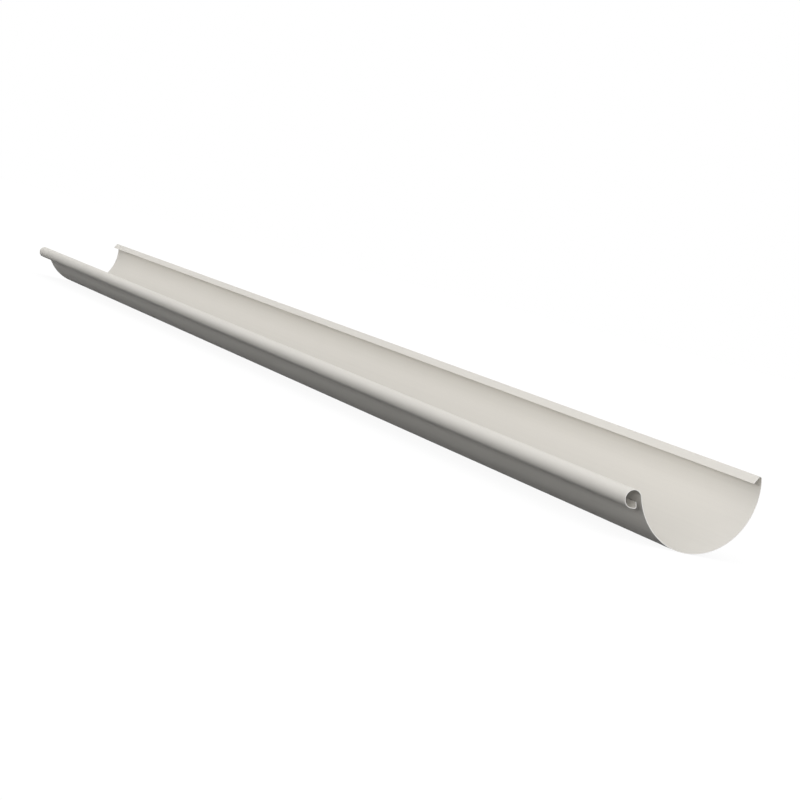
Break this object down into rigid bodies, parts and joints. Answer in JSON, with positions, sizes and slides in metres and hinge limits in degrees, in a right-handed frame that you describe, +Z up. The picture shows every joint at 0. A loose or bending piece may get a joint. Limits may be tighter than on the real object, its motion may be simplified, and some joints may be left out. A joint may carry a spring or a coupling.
{
  "type": "gutter section",
  "caption": "Half-round roof gutter section of coated steel sheet, with a rolled front bead and a folded back edge.",
  "frame": {"origin": "on the line of contact with the floor, at mid-length, at the lowest point of the underside", "axes": "+X along the gutter, -Y towards the front bead, +Z up; at rest the section is turned 16.1 degrees about X from its fixed attitude, towards the bead"},
  "size_m": [2, 0.1381, 0.0822],
  "materials": {
    "coated_steel": "satin"
  },
  "bodies": {
    "root": {"gutter": "coated_steel"}
  },
  "joints": []
}
